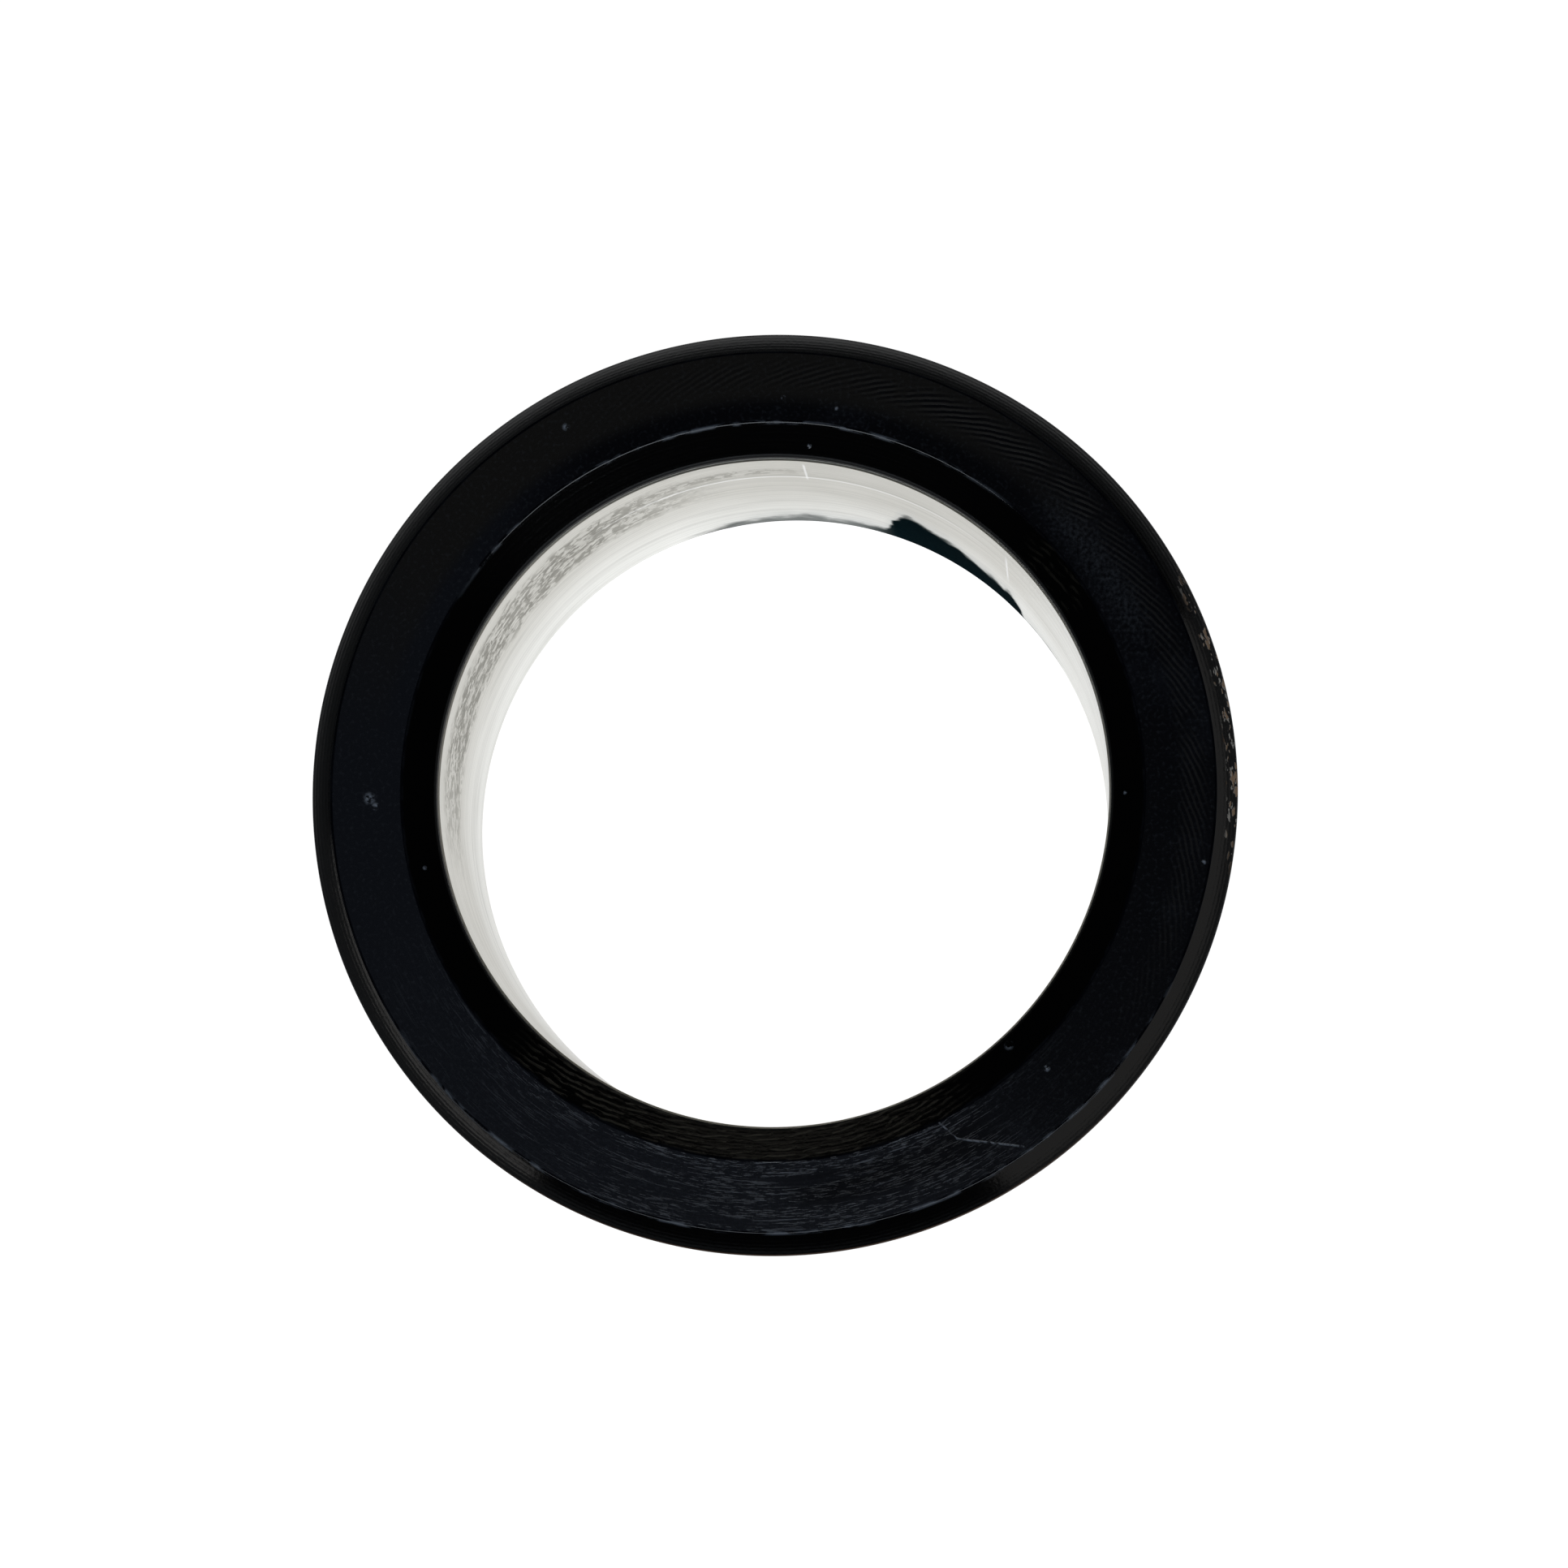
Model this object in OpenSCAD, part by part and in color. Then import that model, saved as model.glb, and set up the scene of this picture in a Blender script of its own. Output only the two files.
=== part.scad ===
// Lined insulating bush for a fence or gate pipe.
// A black insulating collar carries a bevelled flange and a plain spigot. A thin metal liner is pressed
// into it from the rear, up to a lip behind the countersunk mouth.
// Millimetres. +Z is the bush's own axis: the spigot's end is at z = 0 and the flange's face is on top.

/* [Bore] */

// Inner diameter of the metal liner, which is the hole the pipe goes through
bore_d = 34; // [20:0.5:60]

// Wall thickness of the metal liner
liner_wall = 1; // [0.6:0.1:2]

// Size of the small broken edges at both ends of the liner's bore
liner_edge = 0.1; // [0.05:0.05:0.4]

// Length of the tapered lead on the liner's leading outer edge
liner_lead = 0.8; // [0.3:0.1:2]

// Depth of that lead, measured in from the liner's outer wall
liner_lead_depth = 0.2; // [0.05:0.05:0.4]

/* [Collar] */

// Overall length of the bush from the spigot's end to the flange's face
total_h = 20; // [10:0.5:60]

// Outer diameter of the spigot, which fills the hole in the post or plate
spigot_d = 40; // [24:0.5:80]

// Chamfer that guides the spigot into its hole
spigot_lead = 0.8; // [0.2:0.1:2]

// Broken edge at the rear end of the collar's own bore
rear_edge = 0.3; // [0.1:0.05:0.6]

/* [Flange] */

// Outer diameter of the flange
flange_d = 47; // [30:0.5:90]

// Thickness of the flange from its seat to its face
flange_t = 2; // [1.5:0.1:6]

// Leg of the 45 degree bevel round the flange's front edge
bevel = 1.1; // [0.3:0.1:3]

// Chamfer round the back edge of the flange
back_edge = 0.3; // [0.1:0.05:0.8]

// Broken edges on both sides of the flat face
face_edge = 0.12; // [0.05:0.01:0.3]

/* [Mouth] */

// Diameter of the countersunk mouth where it meets the flat face
mouth_d = 37.5; // [24:0.5:70]

// Slope of the countersunk mouth, in degrees down from the flat face
mouth_slope = 30; // [20:1:60]

// Height of the short straight land between the countersink and the liner's front end
lip_land = 0.4; // [0.2:0.1:1]

/* [Hidden] */

$fn = 180;

// The liner: its two walls, and the height at which its front end meets the lip.
bore_r = bore_d / 2;
liner_r = bore_r + liner_wall;
lip_r = bore_r + liner_edge;
mouth_r = mouth_d / 2;
countersink_h = (mouth_r - lip_r) * tan(mouth_slope);
liner_h = total_h - countersink_h - lip_land;

// The collar: the spigot and the flange that sits on it.
spigot_r = spigot_d / 2;
seat_z = total_h - flange_t;
flange_r = flange_d / 2;
bevel_z = total_h - bevel;
face_r = flange_r - bevel;

black_plastic = [0.03, 0.03, 0.035];
pale_metal = [0.78, 0.77, 0.74];

// A closed profile [radius, height] turned round the axis.
module turned(profile) {
    rotate_extrude()
        polygon(profile);
}

// Spigot and flange in one piece, bored for the liner from the rear.
module collar() {
    outside = [
        [liner_r + rear_edge, 0],
        [spigot_r - spigot_lead, 0],
        [spigot_r, spigot_lead],
        [spigot_r, seat_z],
        [flange_r - back_edge, seat_z],
        [flange_r, seat_z + back_edge],
        [flange_r, bevel_z],
        [face_r + face_edge, total_h - face_edge],
        [face_r - face_edge, total_h]
    ];
    inside = [
        [mouth_r + face_edge, total_h],
        [mouth_r - face_edge, total_h - face_edge * tan(mouth_slope)],
        [lip_r, liner_h + lip_land],
        [lip_r, liner_h],
        [liner_r, liner_h],
        [liner_r, rear_edge]
    ];
    color(black_plastic)
        turned(concat(outside, inside));
}

// Plain tube with broken edges, its front end tapered so that it starts easily in the collar.
module liner() {
    wall = [
        [bore_r + liner_edge, 0],
        [liner_r, 0],
        [liner_r, liner_h - liner_lead],
        [liner_r - liner_lead_depth, liner_h],
        [bore_r + liner_edge, liner_h],
        [bore_r, liner_h - liner_edge],
        [bore_r, liner_edge]
    ];
    color(pale_metal)
        turned(wall);
}

collar();
liner();
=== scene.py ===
# %% [markdown]
# # A lined insulating bush
#
# The object is small and plain: a black plastic collar with a bevelled flange, and a pale metal liner
# pressed into its bore. A fence or gate pipe goes through the liner, and the collar keeps it apart from
# the post. Both pieces are turned on a lathe, so both are one flat template swept round one axis.
#
# All the work is therefore in three things: edges that are rounded the way a tool leaves them,
# finishes with real turning marks and wear, and lights that a black surface can reflect.

import math

import bpy
from mathutils import Matrix, Vector


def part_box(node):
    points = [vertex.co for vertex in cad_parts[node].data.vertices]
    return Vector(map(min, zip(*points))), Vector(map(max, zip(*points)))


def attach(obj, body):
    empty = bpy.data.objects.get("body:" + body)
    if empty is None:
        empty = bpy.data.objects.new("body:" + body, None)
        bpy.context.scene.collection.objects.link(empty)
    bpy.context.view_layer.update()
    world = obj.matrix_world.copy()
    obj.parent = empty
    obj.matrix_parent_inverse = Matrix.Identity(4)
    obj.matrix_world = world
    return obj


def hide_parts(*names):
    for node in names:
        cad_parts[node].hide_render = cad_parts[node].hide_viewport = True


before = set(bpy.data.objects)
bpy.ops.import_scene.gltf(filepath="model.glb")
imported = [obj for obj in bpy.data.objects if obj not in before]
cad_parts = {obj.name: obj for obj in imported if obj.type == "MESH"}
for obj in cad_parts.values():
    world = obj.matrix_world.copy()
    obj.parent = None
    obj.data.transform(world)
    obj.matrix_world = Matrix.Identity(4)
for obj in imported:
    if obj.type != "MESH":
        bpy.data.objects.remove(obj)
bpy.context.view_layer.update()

MM = 0.001
collar_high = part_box("collar")[1]
liner_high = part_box("liner")[1]
FLANGE_R = collar_high.x
FACE_Z = collar_high.z
LINER_R = liner_high.x
LINER_TOP = liner_high.z
print(f"flange {2000 * FLANGE_R:.1f} mm across, face at {1000 * FACE_Z:.1f} mm")
print(f"liner {2000 * LINER_R:.1f} mm across, front end at {1000 * LINER_TOP:.2f} mm")

# %% [markdown]
# ## The sizes between those boxes
#
# A box only says how far a piece reaches. The steps of the outline come from the same drawing as the
# engineering model, so they are written down once here, in metres, measured from the axis or an end.

# %% Sizes of the steps
LINER_WALL = 1.0 * MM
LINER_EDGE = 0.1 * MM
LINER_LEAD = 0.8 * MM
LINER_LEAD_DEPTH = 0.2 * MM
BORE_R = LINER_R - LINER_WALL
LIP_R = BORE_R + LINER_EDGE
LAND_Z = LINER_TOP + 0.4 * MM

MOUTH_R = 18.75 * MM
BEVEL = 1.1 * MM
BEVEL_CROWN = 0.02 * MM
FACE_R = FLANGE_R - BEVEL
BEVEL_Z = FACE_Z - BEVEL

SPIGOT_R = FLANGE_R - 3.5 * MM
SPIGOT_LEAD = 0.8 * MM
SEAT_Z = FACE_Z - 2.0 * MM
BACK_EDGE = 0.3 * MM
REAR_EDGE = 0.3 * MM
print(f"the flat face is {1000 * (FACE_R - MOUTH_R):.2f} mm wide")

# %% [markdown]
# ## The camera
#
# The bush lies face up and is seen almost straight down its bore, from a little to the near right.
# A long lens is the right one: it keeps the round face round, and still shows one side of the bore.
# The camera is placed by a matrix built from where it stands and what it looks at, +Y at the top.

# %% Camera
LENS = 116.7
CAMERA_AT = Vector((15.8, -29.3, 274.2)) * MM
LOOKS_AT = Vector((0.64, 0.2, 20.0)) * MM


def aim(place, target, up=Vector((0, 1, 0))):
    """A matrix that stands at place and looks at target, with up at the top."""
    forward = (target - place).normalized()
    right = forward.cross(up).normalized()
    top = right.cross(forward)
    turn = Matrix((right, top, -forward)).transposed()
    return Matrix.Translation(place) @ turn.to_4x4()


camera_data = bpy.data.cameras.new("bench_camera")
camera_data.lens = LENS
camera_data.clip_start = 10 * MM
camera = bpy.data.objects.new("bench_camera", camera_data)
camera.matrix_world = aim(CAMERA_AT, LOOKS_AT)
bpy.context.scene.collection.objects.link(camera)
bpy.context.scene.camera = camera
print(f"camera {1000 * (CAMERA_AT - LOOKS_AT).length:.0f} mm away")

# %% [markdown]
# ## Templates
#
# A turned piece is known by its template: the outline of one half of its cut face. Each corner is
# given as a radius, a height, and how far it is rounded. No real edge is perfectly sharp, and on a
# black piece the rounding is what catches the light, so it is worth real geometry.
#
# The bevel bulges by a few hundredths of a millimetre, as a hand-fed tool leaves it. That is too little
# to measure, but it spreads a reflection over the whole bevel.
#
# A holding point stands on each side of every rounding. The pair keeps smooth shading inside the
# rounding, so that the flats beside it stay flat.

# %% Round the corners of a template
HOLD = 0.04 * MM
ARC_STEPS = 5


def rounded(corners):
    """Points of a closed template, and for each point 1 where a knock can reach it or 0 elsewhere."""
    points = []
    for i, (r, z, rounding) in enumerate(corners):
        here = Vector((r, z))
        back = (Vector(corners[i - 1][:2]) - here).normalized()
        ahead = (Vector(corners[(i + 1) % len(corners)][:2]) - here).normalized()
        half = back.angle(ahead) / 2
        reach = rounding / math.tan(half)
        centre = here + (back + ahead).normalized() * rounding / math.sin(half)
        start = (here + back * reach - centre).normalized()
        end = (here + ahead * reach - centre).normalized()
        points.append((here + back * (reach + HOLD), 0.0))
        for k in range(ARC_STEPS + 1):
            arm = start.slerp(end, k / ARC_STEPS)
            points.append((centre + arm * rounding, 1.0 if r > SPIGOT_R + HOLD else 0.0))
        points.append((here + ahead * (reach + HOLD), 0.0))
    return points


# %% The two templates
BEVEL_MID_R = (FACE_R + FLANGE_R) / 2 + BEVEL_CROWN
BEVEL_MID_Z = (FACE_Z + BEVEL_Z) / 2 + BEVEL_CROWN
COLLAR_CORNERS = [
    (LINER_R + REAR_EDGE, 0, 0.05 * MM),
    (SPIGOT_R - SPIGOT_LEAD, 0, 0.15 * MM),
    (SPIGOT_R, SPIGOT_LEAD, 0.2 * MM),
    (SPIGOT_R, SEAT_Z, 0.1 * MM),
    (FLANGE_R - BACK_EDGE, SEAT_Z, 0.1 * MM),
    (FLANGE_R, SEAT_Z + BACK_EDGE, 0.1 * MM),
    (FLANGE_R, BEVEL_Z, 0.12 * MM),
    (BEVEL_MID_R, BEVEL_MID_Z, 16.0 * MM),
    (FACE_R, FACE_Z, 0.1 * MM),
    (MOUTH_R, FACE_Z, 0.2 * MM),
    (LIP_R, LAND_Z, 0.06 * MM),
    (LIP_R, LINER_TOP, 0.035 * MM),
    (LINER_R, LINER_TOP, 0.035 * MM),
    (LINER_R, REAR_EDGE, 0.05 * MM),
]
LINER_CORNERS = [
    (BORE_R + LINER_EDGE, 0, 0.03 * MM),
    (LINER_R, 0, 0.04 * MM),
    (LINER_R, LINER_TOP - LINER_LEAD, 0.1 * MM),
    (LINER_R - LINER_LEAD_DEPTH, LINER_TOP, 0.04 * MM),
    (BORE_R + LINER_EDGE, LINER_TOP, 0.03 * MM),
    (BORE_R, LINER_TOP - LINER_EDGE, 0.03 * MM),
    (BORE_R, LINER_EDGE, 0.03 * MM),
]
collar_template = rounded(COLLAR_CORNERS)
liner_template = rounded(LINER_CORNERS)
print(f"templates of {len(collar_template)} and {len(liner_template)} points")

# %% [markdown]
# ## The lathe
#
# Geometry Nodes do what the lathe does. The template is a loop of edges. The tree turns it into a
# curve and sweeps it round a circle. Then it lets the whole surface wander inwards by a slow noise of
# a few hundredths of a millimetre, because nothing is cut quite true, and it presses small nicks into
# the rounded edges on the side that was knocked. The Screw modifier could sweep, but it can't do the
# last two steps. The wander has to move the flats together with the edges: moving only the edges would
# tilt the narrow strips beside them and spoil every reflection.
#
# Sizes come in through named inputs, so one tree makes both pieces.

# %% Helpers for node trees
PARTS_ROUND = 720


def wire(tree, socket, value):
    """Feeds an input with another node's output, or with a plain value."""
    if isinstance(value, bpy.types.NodeSocket):
        tree.links.new(value, socket)
    else:
        socket.default_value = value


def put(tree, kind, inputs=(), **settings):
    """Adds a node, sets it up, feeds its inputs by name or in order, and returns it."""
    node = tree.nodes.new(kind)
    for name, value in settings.items():
        setattr(node, name, value)
    named = inputs if isinstance(inputs, dict) else dict(enumerate(inputs))
    for key, value in named.items():
        wire(tree, node.inputs[key], value)
    return node


def calc(tree, operation, *values):
    """One Math node."""
    return put(tree, "ShaderNodeMath", values, operation=operation).outputs[0]


# %% Build the lathe tree
lathe = bpy.data.node_groups.new("lathe", "GeometryNodeTree")
LATHE_INPUTS = [
    ("Template", "NodeSocketGeometry"),
    ("Template Offset", "NodeSocketFloat"),
    ("Parts Round", "NodeSocketInt"),
    ("Wander", "NodeSocketFloat"),
    ("Nick Depth", "NodeSocketFloat"),
    ("Seed", "NodeSocketFloat"),
    ("Finish", "NodeSocketMaterial"),
]
lathe_ids = {}
for name, kind in LATHE_INPUTS:
    lathe_ids[name] = lathe.interface.new_socket(name, in_out="INPUT", socket_type=kind).identifier
lathe.interface.new_socket("Piece", in_out="OUTPUT", socket_type="NodeSocketGeometry")
given = lathe.nodes.new("NodeGroupInput").outputs

print(f"lathe inputs: {', '.join(lathe_ids)}")

# %% Sweep the template round the circle
outline = put(lathe, "GeometryNodeMeshToCurve", {"Mesh": given["Template"]})
circle = put(
    lathe,
    "GeometryNodeCurvePrimitiveCircle",
    {"Resolution": given["Parts Round"], "Radius": given["Template Offset"]},
)
turned = put(
    lathe,
    "GeometryNodeCurveToMesh",
    {"Curve": circle.outputs["Curve"], "Profile Curve": outline.outputs["Curve"]},
)
print(f"{PARTS_ROUND} parts round")

# %% Slow wander, and nicks on the knocked side
NICKED_SIDE = (0.98, 0.15, 0.0)

place = put(lathe, "GeometryNodeInputPosition").outputs[0]
slow = put(
    lathe,
    "ShaderNodeTexNoise",
    {"Vector": place, "W": given["Seed"], "Scale": 90.0, "Detail": 1.0},
    noise_dimensions="4D",
)
fast = put(
    lathe,
    "ShaderNodeTexNoise",
    {"Vector": place, "W": given["Seed"], "Scale": 1500.0, "Detail": 1.0},
    noise_dimensions="4D",
)
outward = put(lathe, "ShaderNodeVectorMath", [place], operation="NORMALIZE").outputs[0]
towards = put(
    lathe, "ShaderNodeVectorMath", [outward, NICKED_SIDE], operation="DOT_PRODUCT"
).outputs["Value"]
side = put(lathe, "ShaderNodeMapRange", [towards, 0.85, 0.98], clamp=True).outputs[0]
nick = put(lathe, "ShaderNodeMapRange", [fast.outputs[0], 0.58, 0.75], clamp=True).outputs[0]
wander = calc(lathe, "MULTIPLY", slow.outputs[0], given["Wander"])
nicks = calc(lathe, "MULTIPLY", calc(lathe, "MULTIPLY", nick, side), given["Nick Depth"])
print(f"nicks round {math.degrees(math.atan2(NICKED_SIDE[1], NICKED_SIDE[0])):.0f} degrees")

# %% Press them in, and finish the tree
on_edge = put(lathe, "GeometryNodeInputNamedAttribute", {"Name": "on_edge"}, data_type="FLOAT")
depth = calc(lathe, "ADD", wander, calc(lathe, "MULTIPLY", nicks, on_edge.outputs[0]))
normal = put(lathe, "GeometryNodeInputNormal").outputs[0]
inwards = put(
    lathe,
    "ShaderNodeVectorMath",
    {"Vector": normal, "Scale": calc(lathe, "MULTIPLY", depth, -1.0)},
    operation="SCALE",
).outputs[0]
worn = put(
    lathe, "GeometryNodeSetPosition", {"Geometry": turned.outputs["Mesh"], "Offset": inwards}
)
smooth = put(lathe, "GeometryNodeSetShadeSmooth", {"Geometry": worn.outputs[0]})
real = put(lathe, "GeometryNodeRealizeInstances", {"Geometry": smooth.outputs[0]})
finished = put(
    lathe,
    "GeometryNodeSetMaterial",
    {"Geometry": real.outputs[0], "Material": given["Finish"]},
)
put(lathe, "NodeGroupOutput", [finished.outputs[0]])
print(f"lathe tree of {len(lathe.nodes)} nodes")

# %% [markdown]
# ## Running the lathe
#
# The template's mesh lies in the XY plane, with x the distance from the sweep circle and y the height
# turned over, because that is how the sweep sets a profile on a circle that runs anticlockwise. The
# order of the points is turned over as well, which makes the faces point outwards.
#
# new_from_object turns the modifier's result into a plain mesh, and only that mesh is kept.

# %% Turn a template into a piece
COLLAR_WANDER = 0.03 * MM
LINER_WANDER = 0.02 * MM
NICK_DEPTH = 0.06 * MM


def turn(name, template, finish, wander, nick_depth, seed):
    """Sweeps a template round the axis and returns the finished piece."""
    flat = bpy.data.meshes.new(f"{name}_template")
    template = template[::-1]
    points = [(p.x - BORE_R, -p.y, 0) for p, edge in template]
    ring = [(i, (i + 1) % len(points)) for i in range(len(points))]
    flat.from_pydata(points, ring, [])
    mark = flat.attributes.new("on_edge", "FLOAT", "POINT")
    mark.data.foreach_set("value", [edge for p, edge in template])
    blank = bpy.data.objects.new(f"{name}_template", flat)
    bpy.context.scene.collection.objects.link(blank)
    modifier = blank.modifiers.new("lathe", "NODES")
    modifier.node_group = lathe
    settings = {
        "Template Offset": BORE_R,
        "Parts Round": PARTS_ROUND,
        "Wander": wander,
        "Nick Depth": nick_depth,
        "Seed": seed,
        "Finish": finish,
    }
    for key, value in settings.items():
        modifier[lathe_ids[key]] = value
    ready = blank.evaluated_get(bpy.context.evaluated_depsgraph_get())
    piece = bpy.data.objects.new(name, bpy.data.meshes.new_from_object(ready))
    piece.data.name = name
    bpy.context.scene.collection.objects.link(piece)
    bpy.data.objects.remove(blank)
    faces = sum(len(polygon.vertices) - 2 for polygon in piece.data.polygons)
    print(f"{name}: {faces} triangles")
    return piece


# %% [markdown]
# ## Finishes for turned pieces
#
# Every mark on a turned piece runs round the axis, so the finishes are drawn in the lathe's own
# terms: how far from the axis, which way round, and how high. A small class keeps the node work
# short. It reads Object coordinates, which are metres in the piece's own frame, and turns them into
# millimetres, because marks are easier to name in millimetres.
#
# A streak is noise that changes fast across the marks and slowly along them. It is drawn in four
# dimensions, with the direction as a point on a circle, so that it closes on itself without a seam.

# %% The turned finish helper
class TurnedFinish:
    """A material under construction, in millimetres round the piece's axis."""

    def __init__(self, name):
        self.material = bpy.data.materials.new(name)
        self.material.use_nodes = True
        self.tree = self.material.node_tree
        self.shader = self.tree.nodes["Principled BSDF"]
        metres = self.put("ShaderNodeTexCoord").outputs["Object"]
        self.place = self.scale(metres, (1 / MM,) * 3)
        x, y, self.z = self.put("ShaderNodeSeparateXYZ", [self.place]).outputs
        self.flat = self.put("ShaderNodeCombineXYZ", [x, y]).outputs[0]
        self.r = self.put("ShaderNodeVectorMath", [self.flat], operation="LENGTH").outputs["Value"]
        self.way = self.put("ShaderNodeVectorMath", [self.flat], operation="NORMALIZE").outputs[0]
        self.angle = self.calc("ARCTAN2", y, x)

    def put(self, kind, inputs=(), **settings):
        return put(self.tree, kind, inputs, **settings)

    def calc(self, operation, *values):
        return calc(self.tree, operation, *values)

    def scale(self, vector, by):
        """A vector times another, part by part."""
        return self.put("ShaderNodeVectorMath", [vector, by], operation="MULTIPLY").outputs[0]

    def all_of(self, *masks):
        """The product of several masks."""
        total = masks[0]
        for mask in masks[1:]:
            total = self.calc("MULTIPLY", total, mask)
        return total

    def any_of(self, *masks):
        """The largest of several masks."""
        total = masks[0]
        for mask in masks[1:]:
            total = self.calc("MAXIMUM", total, mask)
        return total

    def rise(self, value, low, high):
        """0 below low and 1 above high, or the other way round, with a soft step between."""
        inputs = [value, low, high, 0.0, 1.0]
        if low > high:
            inputs = [value, high, low, 1.0, 0.0]
        return self.put("ShaderNodeMapRange", inputs, interpolation_type="SMOOTHSTEP").outputs[0]

    def band(self, value, low, high, soft):
        """1 between low and high, fading out over soft on both sides."""
        return self.all_of(
            self.rise(value, low - soft, low + soft), self.rise(value, high + soft, high - soft)
        )

    def sector(self, degrees, half, soft):
        """1 within half of a direction seen from the front, fading out over soft."""
        centre = math.radians(degrees)
        ahead = (math.cos(centre), math.sin(centre), 0)
        along = self.put("ShaderNodeVectorMath", [self.way, ahead], operation="DOT_PRODUCT")
        outer = math.cos(math.radians(min(half + soft, 180)))
        inner = math.cos(math.radians(max(half - soft, 0)))
        return self.rise(along.outputs["Value"], outer, inner)

    def noise(self, per_mm, detail=2.0, seed=0.0):
        """Plain noise, with so many waves in a millimetre."""
        inputs = {"Vector": self.place, "W": seed, "Scale": per_mm, "Detail": detail}
        return self.put("ShaderNodeTexNoise", inputs, noise_dimensions="4D").outputs[0]

    def streaks(self, across, along, detail=2.0, seed=0.0):
        """Noise drawn out round the axis: across waves in a millimetre, and along waves a turn."""
        turn = along / (2 * math.pi)
        way = self.scale(self.way, (turn, turn, 0))
        depth = self.calc("MULTIPLY", self.r, across)
        shifted = self.put("ShaderNodeCombineXYZ", [seed, seed, depth]).outputs[0]
        vector = self.put("ShaderNodeVectorMath", [way, shifted], operation="ADD").outputs[0]
        height = self.calc("MULTIPLY", self.z, across)
        inputs = {"Vector": vector, "W": height, "Scale": 1.0, "Detail": detail}
        return self.put("ShaderNodeTexNoise", inputs, noise_dimensions="4D").outputs[0]

    def waves(self, value, pitch):
        """Even ridges along a value, one every pitch."""
        turns = self.calc("MULTIPLY", value, 2 * math.pi / pitch)
        return self.calc("SINE", turns)

    def line(self, start, end, width):
        """1 on a straight mark between two places on the face, given in millimetres."""
        run = Vector(end) - Vector(start)
        arm = self.put("ShaderNodeVectorMath", [self.flat, (*start, 0)], operation="SUBTRACT").outputs[0]
        share = self.put(
            "ShaderNodeVectorMath", [arm, (*(run / run.length_squared), 0)], operation="DOT_PRODUCT"
        ).outputs["Value"]
        share = self.put("ShaderNodeClamp", [share, 0.0, 1.0]).outputs[0]
        inputs = {0: (*run, 0), "Scale": share}
        foot = self.put("ShaderNodeVectorMath", inputs, operation="SCALE").outputs[0]
        off = self.put("ShaderNodeVectorMath", [arm, foot], operation="DISTANCE").outputs["Value"]
        return self.rise(off, width, 0.3 * width)

    def blend(self, amount, under, over):
        """Paints one colour over another. A Mix node keeps its colour inputs at places 6 and 7."""
        inputs = {0: amount, 6: under, 7: over}
        return self.put("ShaderNodeMix", inputs, data_type="RGBA").outputs[2]

    def bump(self, height, size, under=None):
        """Relief of a given size in millimetres, over whatever relief is already there."""
        inputs = {"Height": height, "Strength": 1.0, "Distance": size * MM}
        if under is not None:
            inputs["Normal"] = under
        return self.put("ShaderNodeBump", inputs).outputs[0]

    def finish(self, colour, roughness, normal):
        wire(self.tree, self.shader.inputs["Base Color"], colour)
        wire(self.tree, self.shader.inputs["Roughness"], roughness)
        wire(self.tree, self.shader.inputs["Normal"], normal)
        print(f"{self.material.name}: {len(self.tree.nodes)} nodes")
        return self.material


# %% [markdown]
# ## The collar's black plastic
#
# This is a dense black plastic cut dry. It shows what the cutter did: fine grooves one feed apart, a
# band of slanting chatter on the face where the tool sang, and torn, woven-looking marks in the mouth.
# Handling adds the rest. A black surface is made of small differences, so the face is built from
# three nearly black tones: a blue-black base with random greyer patches, a painted bluish-grey sheen
# over the near left side, where the blue panel lights it, and a painted warm tint over the far side,
# where the warm panel lights it. The mouth and the bevel are blacker still. Colours this dark
# are easiest to judge against each other, so they are named together here.

# %% Tones of black
JET = (0.0003, 0.0004, 0.0006, 1)
BLUE_BLACK = (0.0009, 0.0013, 0.0034, 1)
GREY_AND_BLUE_SHEEN = (0.0095, 0.0112, 0.0165, 1)
WARM_LIGHT_TINT = (0.0150, 0.0138, 0.0128, 1)
GRIT = (0.15, 0.168, 0.20, 1)
RUBBED_AND_LIT = (0.19, 0.22, 0.27, 1)
CHATTER_CREST_HIGHLIGHT = (0.044, 0.042, 0.040, 1)
WOVEN = (0.050, 0.046, 0.037, 1)
RIM_BROWN = (0.09, 0.042, 0.018, 1)
CHIP_TAN = (0.30, 0.19, 0.11, 1)
CHIP_PALE = (0.42, 0.40, 0.36, 1)
FLECK = (0.2, 0.23, 0.28, 1)
print("twelve tones of black plastic and of what is on it")

# %% [markdown]
# ## Where the collar is marked
#
# Chatter has a count: so many strokes in one turn, each slanting by so much. The other marks have
# places, in millimetres on the face from its centre, and directions in degrees, anticlockwise from +X.
# The face and the bevel are told apart by their distance from the axis, each a little narrower than
# the real surface, so that no colour runs over an edge. The land at the bottom of the mouth fades into
# the mouth's cone between its two distances.

# %% Counts and places of the marks
FACE_SPAN = (18.85, 22.3)
BEVEL_SPAN = (22.45, 23.42)
LAND_FADE = (17.3, 17.15)
SPAN_SOFT = 0.03
FEED = 0.18
CHATTER_ROUND = 182
CHATTER_SLANT = 21.2
FLECKS = [
    (-20.4, -0.4, 0.4),
    (-20.1, -0.8, 0.25),
    (-10.5, 18.6, 0.25),
    (0.6, 20.0, 0.16),
    (3.3, 19.4, 0.14),
    (-17.6, -3.9, 0.14),
    (17.8, -0.3, 0.12),
    (21.7, -3.9, 0.16),
    (11.9, -13.0, 0.3),
    (13.8, -14.2, 0.22),
    (1.9, 17.6, 0.14),
]
SCRATCH = [(12.6, -18.1), (9.3, -17.7), (8.3, -16.8)]
print(f"{len(FLECKS)} flecks")

# %% [markdown]
# ## Mixing the black plastic
#
# The finish is painted from the bottom up, tone over tone, and each layer is a mask times a colour.
# Relief is stacked the same way, from the grooves to the scratches, and anything worn is also rougher.


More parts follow.
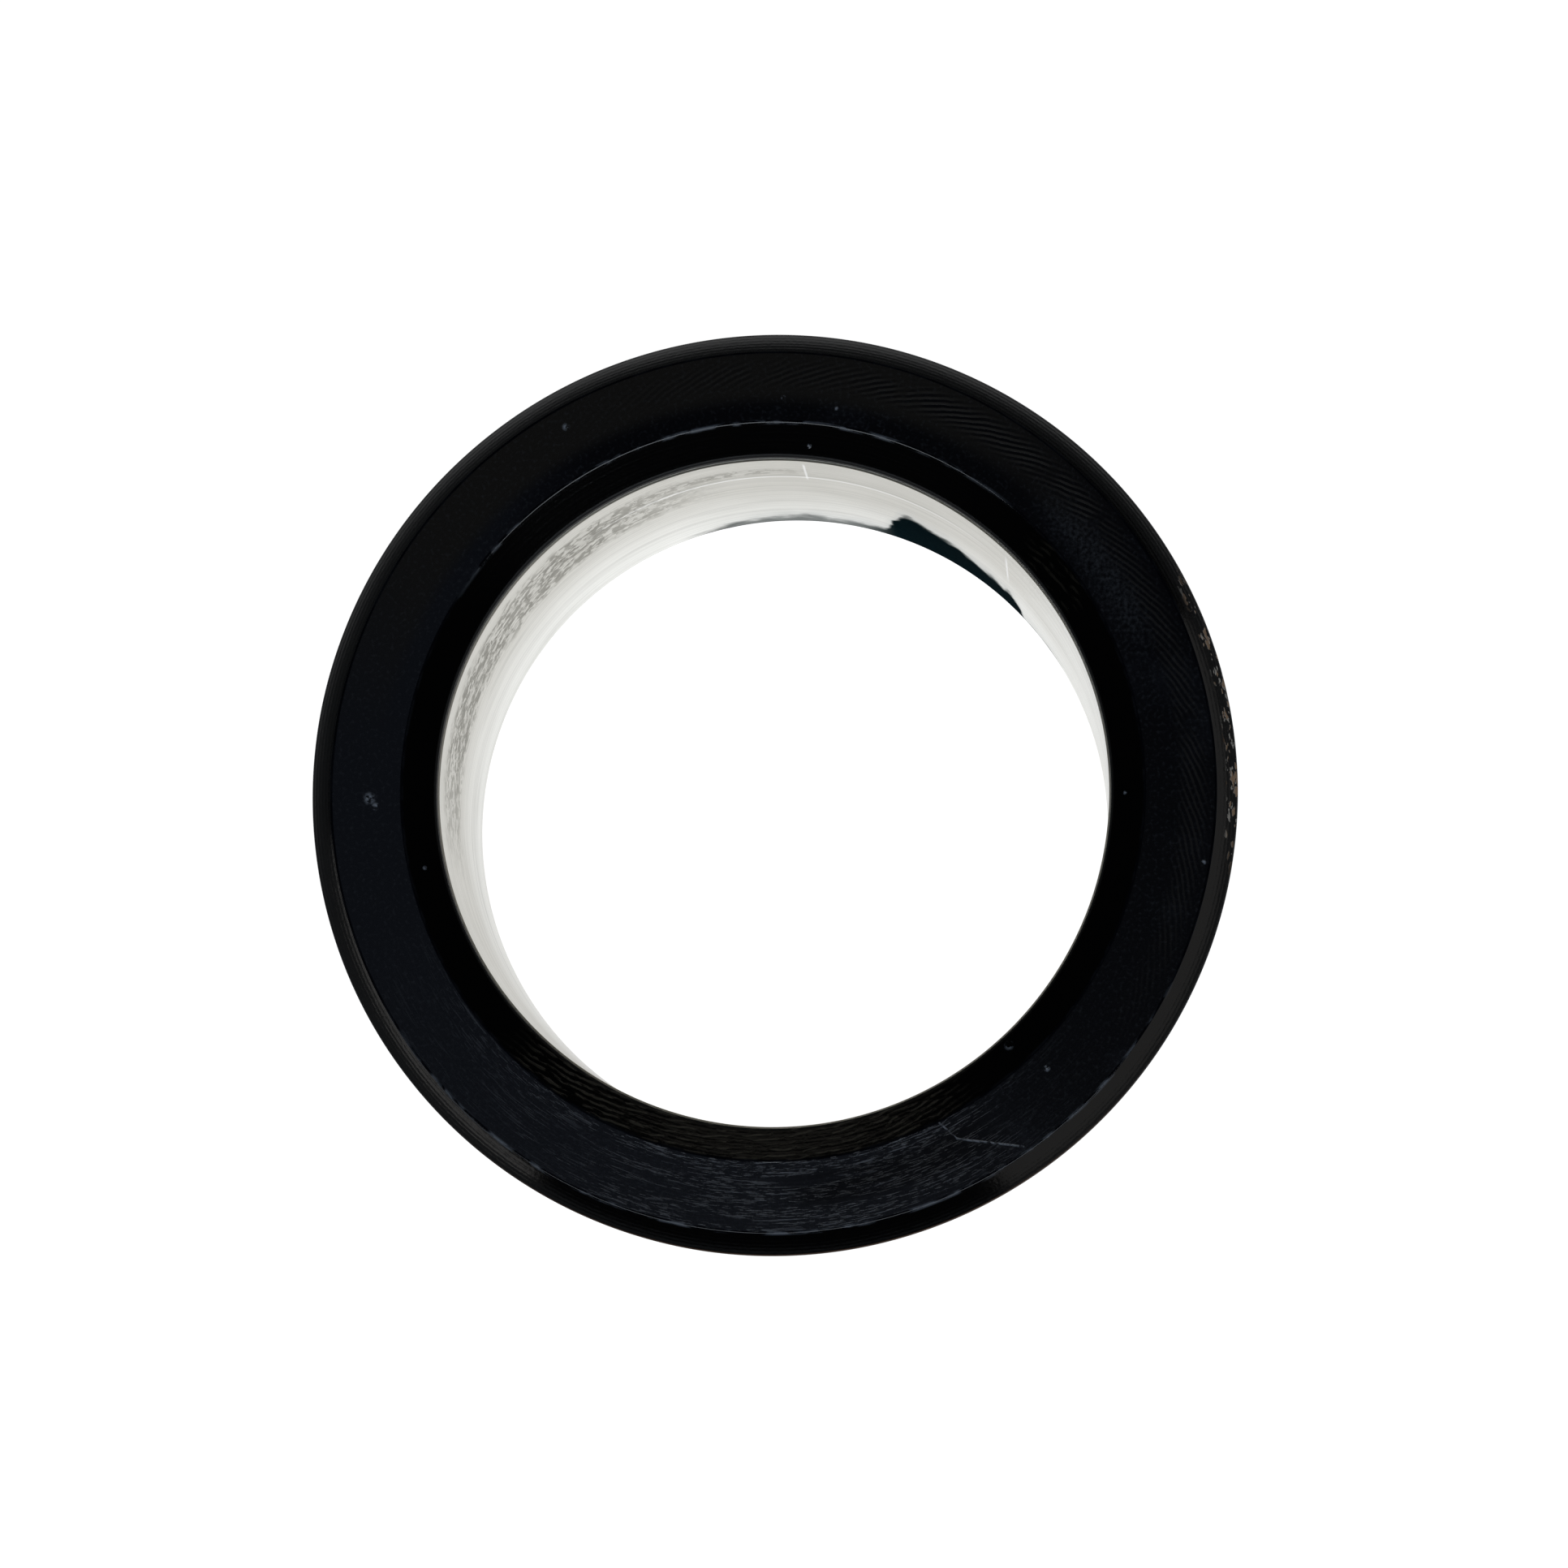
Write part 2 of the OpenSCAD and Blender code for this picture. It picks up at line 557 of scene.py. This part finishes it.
# %% Face tones
def face_tone(f, on_face):
    """The three blacks of the face, with a painted blue sheen on the near left and a painted warm tint
    on the far side, their borders broken up by noise.
    """
    grain = f.noise(5.0, 3.0, 5.0)
    cloud = f.noise(0.22, 3.0)
    patchy = f.rise(f.calc("ADD", cloud, f.calc("MULTIPLY", grain, 0.3)), 0.64, 0.86)
    colour = f.blend(f.all_of(patchy, on_face, 0.8), BLUE_BLACK, GREY_AND_BLUE_SHEEN)
    # Painted light: the near left of the face is painted a bluer grey for the blue panel's sheen, and
    # the far side warm for the warm panel's light.
    colour = f.blend(f.all_of(f.sector(-145, 82, 22), on_face), colour, GREY_AND_BLUE_SHEEN)
    colour = f.blend(f.all_of(f.sector(104, 52, 22), on_face, f.rise(f.r, 19.4, 20.4)), colour, WARM_LIGHT_TINT)
    haze = f.all_of(f.sector(34, 7, 9), f.band(f.r, 19.4, 20.9, 0.8), f.rise(grain, 0.3, 0.7))
    colour = f.blend(f.all_of(haze, 0.17), colour, GRIT)
    speckle = f.all_of(f.rise(grain, 0.5, 0.75), on_face)
    return f.blend(f.all_of(speckle, 0.08), colour, GRIT), grain


# %% [markdown]
# Chatter is a sine along a slanted line: so much for the direction, so much for the distance from the
# axis, and a little noise so that the strokes waver. Its crests and its troughs are used apart: the
# troughs get painted shade and the crests a painted highlight, because on so dark a face the fine
# bump alone shows little of either.

# %% Chatter
def chatter_marks(f, on_face):
    """Slanting strokes in a band of the face, strong where the tool sang and broken elsewhere."""
    strokes = f.calc("MULTIPLY", f.angle, CHATTER_ROUND)
    strokes = f.calc("ADD", strokes, f.calc("MULTIPLY", f.r, CHATTER_SLANT))
    strokes = f.calc("ADD", strokes, f.calc("MULTIPLY", f.noise(0.7, 2.0, 3.0), 6.0))
    wave = f.calc("SINE", strokes)
    loud = f.any_of(f.sector(57, 17, 14), f.all_of(f.sector(40, 58, 26), 0.5))
    where = f.all_of(loud, f.band(f.r, 20.7, 21.8, 0.45), f.rise(f.noise(0.6, 2.0, 21.0), 0.3, 0.5))
    where = f.all_of(where, on_face)
    return f.all_of(f.rise(wave, -0.1, 0.6), where), f.all_of(f.rise(wave, 0.3, -0.4), where)


# %% [markdown]
# Grit dragged round by the pipe leaves long fine dashes, which are streaks cut off at a height. Torn
# plastic in the mouth leaves shorter ones that slant a little, so they are made as the chatter is.

# %% Scuffs and woven marks
def grit_scuffs(f, on_face):
    """Long fine dashes where grit was dragged round, thickest next to the mouth."""
    fine = f.rise(f.streaks(17.0, 230.0, 4.0, 8.0), 0.54, 0.64)
    heavy = f.rise(f.streaks(14.0, 90.0, 4.0, 12.0), 0.59, 0.65)
    side = f.any_of(f.sector(-86, 22, 14), f.all_of(f.sector(-100, 46, 18), 0.3))
    near_mouth = f.calc("MAXIMUM", f.rise(f.r, 20.8, 19.0), 0.5)
    bare = f.rise(f.streaks(1.6, 14.0, 3.0, 14.0), 0.36, 0.54)
    return f.all_of(f.any_of(f.all_of(fine, 0.7), heavy), side, near_mouth, bare, on_face)


def wiped_patches(f, on_face):
    """Darker places among the scuffs, where a thumb has polished the plastic again."""
    places = f.any_of(f.sector(-77, 8, 5), f.sector(-64, 5, 3))
    cloud = f.rise(f.streaks(1.3, 22.0, 3.0, 41.0), 0.3, 0.46)
    return f.all_of(places, f.band(f.r, 19.5, 21.1, 0.4), cloud, on_face)


def woven_marks(f, in_mouth):
    """Short slanted dashes in the near side of the mouth, where the cutter tore the plastic."""
    slanted = f.calc("ADD", f.calc("MULTIPLY", f.r, 21.0), f.calc("MULTIPLY", f.angle, 46.0))
    slanted = f.calc("ADD", slanted, f.calc("MULTIPLY", f.noise(0.9, 2.0, 31.0), 9.0))
    dashes = f.rise(f.calc("SINE", slanted), -0.1, 0.8)
    broken = f.rise(f.streaks(3.5, 130.0, 3.0, 16.0), 0.42, 0.58)
    near_side = f.any_of(f.sector(-96, 34, 9), f.all_of(f.sector(37, 5, 3), 0.3))
    return f.all_of(dashes, broken, near_side, in_mouth)


# %% [markdown]
# Edges are rubbed first and palest, and on the sides the lights catch they also carry a painted
# highlight. Flecks are small discs torn by noise, and the scratch is two straight runs, each the
# distance to a line.

# %% Rubbed edges with painted highlights, flecks and the scratch
def edge_wear_and_highlights(f):
    """Pale broken lines along both edges of the face: rubbed wear, with a painted highlight on the sides
    the lights catch.
    """
    rub = f.rise(f.streaks(3.0, 110.0, 4.0, 4.0), 0.46, 0.62)
    # Painted highlight: the inner edge is painted pale on the far side and the outer edge on the near
    # side, where the lights catch the roundings.
    inner = f.all_of(f.band(f.r, 18.66, 18.84, 0.06), f.sector(98, 40, 16))
    outer = f.all_of(f.band(f.r, 22.3, 22.46, 0.06), f.sector(-87, 55, 12))
    faint = f.all_of(f.any_of(f.band(f.r, 18.7, 18.8, 0.06), f.band(f.r, 22.34, 22.42, 0.06)), 0.06)
    return f.all_of(f.any_of(inner, outer, faint), rub, f.rise(f.z, 19.7, 19.85))


def flecks_and_scratch(f, on_face):
    """White flecks stuck to the plastic, and one long scratch."""
    spots = []
    for x, y, size in FLECKS:
        off = f.put("ShaderNodeVectorMath", [f.flat, (x, y, 0)], operation="DISTANCE").outputs["Value"]
        spots.append(f.rise(off, size, 0.2 * size))
    torn = f.rise(f.noise(4.0, 3.0, 1.0), 0.42, 0.58)
    flecks = f.all_of(f.any_of(*spots), torn, f.rise(f.z, 17.9, 18.0))
    cut = f.any_of(f.line(SCRATCH[0], SCRATCH[1], 0.07), f.line(SCRATCH[1], SCRATCH[2], 0.06))
    broken = f.rise(f.noise(2.5, 3.0, 6.0), 0.4, 0.58)
    return flecks, f.all_of(cut, on_face, broken)


# %% [markdown]
# The spigot sits inside the post, where nobody polishes it. It keeps its tool rings, and it has faint
# scrapes along its length. Those are noise that changes fast round the spigot and slowly along it.

# %% Spigot marks
def spigot_marks(f):
    """Where the spigot is, its tool rings, and the scrapes along it from being pushed into a hole."""
    on_spigot = f.all_of(f.rise(f.z, 18.0, 17.9), f.rise(f.r, 18.9, 19.1))
    rings = f.streaks(5.0, 7.0, 4.0, 51.0)
    way = f.scale(f.way, (45,) * 3)
    drawn_out = f.put("ShaderNodeCombineXYZ", [0.0, 0.0, f.calc("MULTIPLY", f.z, 0.12)]).outputs[0]
    spot = f.put("ShaderNodeVectorMath", [way, drawn_out], operation="ADD").outputs[0]
    scrapes = f.put("ShaderNodeTexNoise", {"Vector": spot, "Scale": 1.0, "Detail": 3.0}).outputs[0]
    worn = f.rise(f.noise(0.12, 3.0, 53.0), 0.42, 0.6)
    return on_spigot, rings, f.all_of(f.rise(scrapes, 0.6, 0.7), worn, on_spigot)


# %% Collar finish
def black_plastic():
    """The collar's plastic, as cut and as handled."""
    f = TurnedFinish("cut_black_plastic")
    on_face = f.all_of(f.rise(f.z, 19.9, 19.96), f.band(f.r, *FACE_SPAN, SPAN_SOFT))
    in_mouth = f.all_of(f.rise(f.r, 18.8, 18.65), f.rise(f.z, 18.9, 19.0))
    on_bevel = f.band(f.r, *BEVEL_SPAN, SPAN_SOFT)
    on_rim = f.rise(f.r, 23.4, 23.46)
    on_land = f.rise(f.r, *LAND_FADE)

    colour, grain = face_tone(f, on_face)
    chatter, troughs = chatter_marks(f, on_face)
    # Painted shade in the chatter's troughs and a painted highlight on its crests.
    colour = f.blend(f.all_of(troughs, 0.95), colour, BLUE_BLACK)
    colour = f.blend(f.all_of(chatter, 0.7), colour, CHATTER_CREST_HIGHLIGHT)
    scuffs = grit_scuffs(f, on_face)
    colour = f.blend(f.all_of(scuffs, 0.95), colour, GRIT)
    colour = f.blend(f.all_of(wiped_patches(f, on_face), 0.95), colour, BLUE_BLACK)
    colour = f.blend(f.any_of(in_mouth, on_bevel), colour, JET)
    woven = woven_marks(f, in_mouth)
    colour = f.blend(woven, colour, WOVEN)
    # A brown line is painted along the near side of the outer rim.
    colour = f.blend(f.all_of(on_rim, f.sector(-86, 40, 16), 0.9), colour, RIM_BROWN)
    # Rubbed edges, painted paler where the lights would catch them.
    edges = edge_wear_and_highlights(f)
    colour = f.blend(f.all_of(edges, 0.55), colour, RUBBED_AND_LIT)
    flecks, scratch = flecks_and_scratch(f, on_face)
    colour = f.blend(flecks, colour, FLECK)
    colour = f.blend(f.all_of(scratch, 0.7), colour, FLECK)

    knocked = f.all_of(f.sector(9, 16, 5), f.band(f.r, 22.95, 23.6, 0.15))
    tan = f.all_of(f.rise(f.streaks(3.2, 240.0, 2.0, 9.0), 0.57, 0.62), knocked)
    pale = f.all_of(f.rise(f.streaks(4.0, 300.0, 2.0, 19.0), 0.61, 0.66), knocked)
    colour = f.blend(tan, colour, CHIP_TAN)
    colour = f.blend(pale, colour, CHIP_PALE)

    on_spigot, rings, scrapes = spigot_marks(f)
    colour = f.blend(f.all_of(f.rise(rings, 0.35, 0.7), on_spigot, 0.9), colour, GREY_AND_BLUE_SHEEN)
    colour = f.blend(f.all_of(scrapes, 0.35), colour, GRIT)

    grooves = f.calc("ADD", f.waves(f.r, FEED), f.waves(f.z, FEED))
    uneven = f.streaks(4.0, 30.0, 2.0, 6.0)
    fine_rings = f.streaks(9.0, 5.0, 3.0, 2.0)
    normal = f.bump(f.all_of(grooves, uneven), 0.0006)
    normal = f.bump(woven, 0.008, normal)
    normal = f.bump(fine_rings, 0.0015, normal)
    normal = f.bump(f.all_of(f.waves(f.z, FEED), on_spigot), 0.0014, normal)
    normal = f.bump(f.all_of(rings, on_spigot), 0.01, normal)
    normal = f.bump(chatter, 0.004, normal)
    normal = f.bump(grain, 0.004, normal)
    damage = f.any_of(scratch, flecks, scuffs, scrapes, tan, pale)
    normal = f.bump(damage, -0.012, normal)

    roughness = f.calc("ADD", 0.1, f.all_of(on_face, 0.15))
    roughness = f.calc("ADD", roughness, f.all_of(on_rim, 0.4))
    roughness = f.calc("ADD", roughness, f.all_of(on_spigot, rings, 0.34))
    roughness = f.calc("ADD", roughness, f.all_of(on_land, 0.6))
    roughness = f.calc("ADD", roughness, f.all_of(f.any_of(edges, damage), 0.25))
    roughness = f.calc("ADD", roughness, f.all_of(grain, on_bevel, 0.06))
    return f.finish(colour, roughness, normal)


collar_finish = black_plastic()

# %% [markdown]
# ## The liner's pale metal
#
# The liner is bare, pale and softly grained. Fine lines run round it from the boring tool. Below its
# front end a band has been galled by the pipe: a mottled, crazed stripe that thins out to a pair of
# hairlines. Towards its rear end it is painted brighter, a painted reflection of the white floor, and
# at the rear end a painted shadow lies where the bore meets the floor, darkest on one side.
#
# Bare metal seen at a glancing angle reflects nearly everything, however dark its colour, and a bore
# is always seen at a glancing angle. So the painted shadow also goes into Specular Tint, which sets the
# colour of that glancing reflection.

# %% Tones of metal, and the galled band
METAL = (0.69, 0.675, 0.62, 1)
METAL_BRIGHT = (0.92, 0.92, 0.885, 1)
GALLED = (0.24, 0.23, 0.195, 1)
# Painted shadow colours for the rear end of the bore.
SHADOW_TEAL = (0.010, 0.026, 0.032, 1)
HALF_SHADOW_GREY = (0.30, 0.34, 0.35, 1)


def galled_band(f):
    """Crazed, drawn-out mottling that fades towards both ends of its arc."""
    crazing = f.rise(f.streaks(1.8, 210.0, 6.0, 3.0), 0.48, 0.56)
    off_vein = f.calc("ABSOLUTE", f.calc("SUBTRACT", f.streaks(2.0, 90.0, 6.0, 5.0), 0.5))
    veins = f.rise(off_vein, 0.035, 0.01)
    ragged = f.calc("ADD", f.z, f.calc("MULTIPLY", f.noise(0.9, 3.0, 11.0), 3.0))
    where = f.all_of(f.band(ragged, 11.6, 18.0, 1.0), f.sector(147, 34, 16))
    thin = f.all_of(f.band(f.z, 14.8, 16.2, 0.5), f.sector(108, 12, 16), 0.7)
    where = f.any_of(where, thin)
    return f.all_of(f.any_of(f.all_of(crazing, 0.8), veins), where), where


# %% [markdown]
# The painted shadow covers the liner from its rear end up to a height that depends on the direction,
# and noise makes that border ragged. A fainter painted half-shadow reaches a little further up.

# %% Painted shadow at the rear end
def shadow_at_rear_end(f):
    """A ragged painted shadow at the rear end, with a thin painted dark line leading up to it."""
    ragged = f.calc("MULTIPLY", f.calc("SUBTRACT", f.noise(0.8, 4.0, 7.0), 0.5), 3.2)
    level = f.calc("ADD", f.z, ragged)
    slope = f.put("ShaderNodeMapRange", [f.angle, 0.74, 1.22, 2.4, 8.4]).outputs[0]
    height = f.all_of(slope, f.sector(57.5, 12.5, 3.2))
    height = f.calc("ADD", height, f.calc("MULTIPLY", f.sector(45, 1.5, 1.2), 1.6))
    height = f.calc("ADD", height, f.calc("MULTIPLY", f.sector(84, 15, 7), 1.3))
    above = f.calc("SUBTRACT", level, height)
    return f.rise(above, 1.0, -0.6), f.rise(above, 3.2, -0.2)


# %% Liner finish
def pale_metal():
    """The liner's metal, with its tool lines, the galled band, a painted floor reflection towards its
    rear end and a painted shadow at the rear end itself.
    """
    f = TurnedFinish("bored_pale_metal")
    f.shader.inputs["Metallic"].default_value = 1.0
    lines = f.streaks(9.0, 4.0, 3.0, 1.0)
    haze = f.noise(0.35, 3.0, 2.0)
    cloud = f.streaks(1.2, 14.0, 4.0, 9.0)
    # Painted reflection: the metal is painted brighter towards its rear end, where it mirrors the white
    # floor, and brighter on its right side too.
    brighter_rear_and_right = f.any_of(f.rise(f.z, 12.0, 1.0), f.sector(5, 20, 22))
    colour = f.blend(brighter_rear_and_right, METAL, METAL_BRIGHT)
    colour = f.blend(f.all_of(f.rise(lines, 0.42, 0.7), 0.3), colour, GALLED)
    colour = f.blend(f.all_of(f.rise(cloud, 0.5, 0.75), 0.22), colour, GALLED)
    colour = f.blend(f.all_of(f.sector(80, 18, 16), 0.14), colour, GALLED)
    galled, zone = galled_band(f)
    colour = f.blend(f.all_of(zone, 0.12), colour, GALLED)
    colour = f.blend(f.all_of(galled, 0.82), colour, GALLED)

    arc = f.sector(88, 30, 12)
    colour = f.blend(f.all_of(f.band(f.z, 14.3, 14.5, 0.1), arc, 0.4), colour, GALLED)
    colour = f.blend(f.all_of(f.band(f.z, 13.8, 14.0, 0.1), arc, 0.8), colour, (1, 1, 1, 1))
    drag = f.all_of(f.sector(85, 0.15, 0.12), f.band(f.z, 13.5, 17.6, 0.5))
    drag = f.any_of(drag, f.all_of(f.sector(46, 0.18, 0.14), f.band(f.z, 9.0, 16.0, 1.5)))
    colour = f.blend(f.all_of(drag, 0.7), colour, (1, 1, 1, 1))

    # Painted shadow where the rear end of the bore meets the floor, with a paler painted half-shadow
    # above it.
    rear_shadow, rear_half_shadow = shadow_at_rear_end(f)
    shadow_fringe = f.all_of(rear_half_shadow, f.sector(66, 32, 6), 0.3)
    colour = f.blend(shadow_fringe, colour, HALF_SHADOW_GREY)
    lighter_arc = f.all_of(f.sector(88, 13, 5), 0.45)
    rear_shadow = f.all_of(rear_shadow, f.sector(70, 36, 6), f.calc("SUBTRACT", 1.0, lighter_arc))
    colour = f.blend(rear_shadow, colour, SHADOW_TEAL)
    wire(f.tree, f.shader.inputs["Specular Tint"], f.blend(rear_shadow, (1, 1, 1, 1), SHADOW_TEAL))

    normal = f.bump(lines, 0.004)
    normal = f.bump(galled, -0.01, normal)
    normal = f.bump(drag, 0.01, normal)
    normal = f.bump(f.noise(4.0, 3.0, 4.0), 0.004, normal)
    roughness = f.calc("ADD", 0.3, f.calc("MULTIPLY", haze, 0.14))
    roughness = f.calc("ADD", roughness, f.all_of(galled, 0.2))
    roughness = f.calc("ADD", roughness, f.all_of(rear_shadow, 0.3))
    return f.finish(colour, roughness, normal)


liner_finish = pale_metal()

# %% [markdown]
# ## The two pieces
#
# Each piece stands for the plain solid of the engineering model and rides on the same body.

# %% Turn the collar and the liner
collar = turn("collar_turned", collar_template, collar_finish, COLLAR_WANDER, NICK_DEPTH, 3.0)
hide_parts("collar")
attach(collar, "bush")

liner = turn("liner_turned", liner_template, liner_finish, LINER_WANDER, 0.0, 7.0)
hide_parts("liner")
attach(liner, "bush")

# %% [markdown]
# ## The bench
#
# The floor is a plain white light table, so that it comes out white even deep inside the bore, and
# its glow lifts the lower end of the liner. What the black bevel reflects of it is a pool: bright
# round the bush and dim further off, which shades the bevel from its outer edge inwards. The pool lies
# a little to the far right, where the bevel is brightest. Seen straight by the camera, the whole floor
# is equally white.

# %% Floor
FLOOR_SIDE = 4.0
FLOOR_GLOW = 0.85
POOL_CENTRE = (0.015, 0.015, 0)
POOL_INNER = 0.02
POOL_OUTER = 0.14

floor_mesh = bpy.data.meshes.new("bench")
half_side = FLOOR_SIDE / 2
signs = [(-1, -1), (1, -1), (1, 1), (-1, 1)]
corners = [(half_side * x, half_side * y, 0) for x, y in signs]
floor_mesh.from_pydata(corners, [], [(0, 1, 2, 3)])
floor = bpy.data.objects.new("bench", floor_mesh)
bpy.context.scene.collection.objects.link(floor)
floor_finish = bpy.data.materials.new("bench_white")
floor_finish.use_nodes = True
bench = floor_finish.node_tree
floor_shader = bench.nodes["Principled BSDF"]
floor_shader.inputs["Base Color"].default_value = (0.35, 0.35, 0.35, 1)
floor_shader.inputs["Roughness"].default_value = 0.9
floor_shader.inputs["Specular IOR Level"].default_value = 0.1
floor_shader.inputs["Emission Color"].default_value = (1, 1, 1, 1)
spot = put(bench, "ShaderNodeTexCoord").outputs["Object"]
away = put(bench, "ShaderNodeVectorMath", [spot, POOL_CENTRE], operation="DISTANCE").outputs["Value"]
fade = [away, POOL_INNER, POOL_OUTER, FLOOR_GLOW, 0.0]
pool = put(bench, "ShaderNodeMapRange", fade, interpolation_type="SMOOTHSTEP").outputs[0]
seen = put(bench, "ShaderNodeLightPath").outputs["Is Camera Ray"]
wire(bench, floor_shader.inputs["Emission Strength"], calc(bench, "MAXIMUM", pool, seen))
floor_mesh.materials.append(floor_finish)
print(f"floor {FLOOR_SIDE:.0f} m square")

# %% [markdown]
# ## Lights for a black surface
#
# A black piece shows hardly any light of its own: what is seen on it is the room's reflection. So
# each panel is placed for what it is seen in. Two low panels stand on the right and in the near left,
# and the bevel picks them up. The gap between them leaves the near side of the bevel black. A slightly
# blue panel high over the near side lights the bore and draws the fine lines on the rounded edges. A
# dim one on the far side brings out the grooves in the mouth. Nothing hangs right overhead, so the
# flat face stays dark.
#
# A panel is given by the directions between which it is seen and by how bright it looks, and its
# power follows from those. White is a brightness of 1.

# %% Light panels
PANEL_DISTANCE = 0.6


def panel(name, azimuths, elevations, brightness, colour, shape="RECTANGLE"):
    """A soft panel that faces the bush and is seen from it between two azimuths and two elevations."""
    azimuth = math.radians(sum(azimuths) / 2)
    elevation = math.radians(sum(elevations) / 2)
    out = Vector((math.cos(azimuth), math.sin(azimuth), 0)) * math.cos(elevation)
    out.z = math.sin(elevation)
    target = Vector((0, 0, FACE_Z))
    data = bpy.data.lights.new(name, "AREA")
    data.shape = shape
    reach = PANEL_DISTANCE * math.cos(elevation)
    data.size = 2 * reach * math.tan(math.radians(azimuths[1] - azimuths[0]) / 2)
    data.size_y = 2 * PANEL_DISTANCE * math.tan(math.radians(elevations[1] - elevations[0]) / 2)
    data.energy = brightness * math.pi * data.size * data.size_y
    data.color = colour
    light = bpy.data.objects.new(name, data)
    light.matrix_world = aim(target + out * PANEL_DISTANCE, target, Vector((0, 0, 1)))
    light.visible_camera = False
    bpy.context.scene.collection.objects.link(light)
    print(f"{name}: {data.size:.2f} by {data.size_y:.2f} m, {data.energy:.2f} W")


panel("near_high_panel", (-138, -38), (50, 72), 2.3, (0.86, 0.93, 1.0), "ELLIPSE")
panel("right_panel", (-60, 30), (-1.5, 20), 0.29, (1.0, 0.98, 0.96))
panel("near_left_panel", (-180, -128), (-1.5, 2.5), 0.8, (1.0, 0.98, 0.96))
panel("far_panel", (50, 118), (15, 29), 0.18, (1.0, 0.94, 0.82))

# %% [markdown]
# ## The room
#
# The room itself is dim, and only looks white behind the bench. The view transform is the standard
# one, so that white stays white and the black keeps its depth.

# %% World
ROOM_GLOW = 0.01

world = bpy.data.worlds.new("room")
bpy.context.scene.world = world
world.use_nodes = True
room = world.node_tree
room.nodes.clear()
seen = put(room, "ShaderNodeLightPath").outputs["Is Camera Ray"]
dim = put(room, "ShaderNodeBackground", {"Color": (1, 1, 1, 1), "Strength": ROOM_GLOW})
white = put(room, "ShaderNodeBackground", {"Color": (1, 1, 1, 1), "Strength": 1.0})
mixed = put(room, "ShaderNodeMixShader", [seen, dim.outputs[0], white.outputs[0]])
put(room, "ShaderNodeOutputWorld", [mixed.outputs[0]])
bpy.context.scene.view_settings.view_transform = "Standard"
print(f"room glow {ROOM_GLOW}")
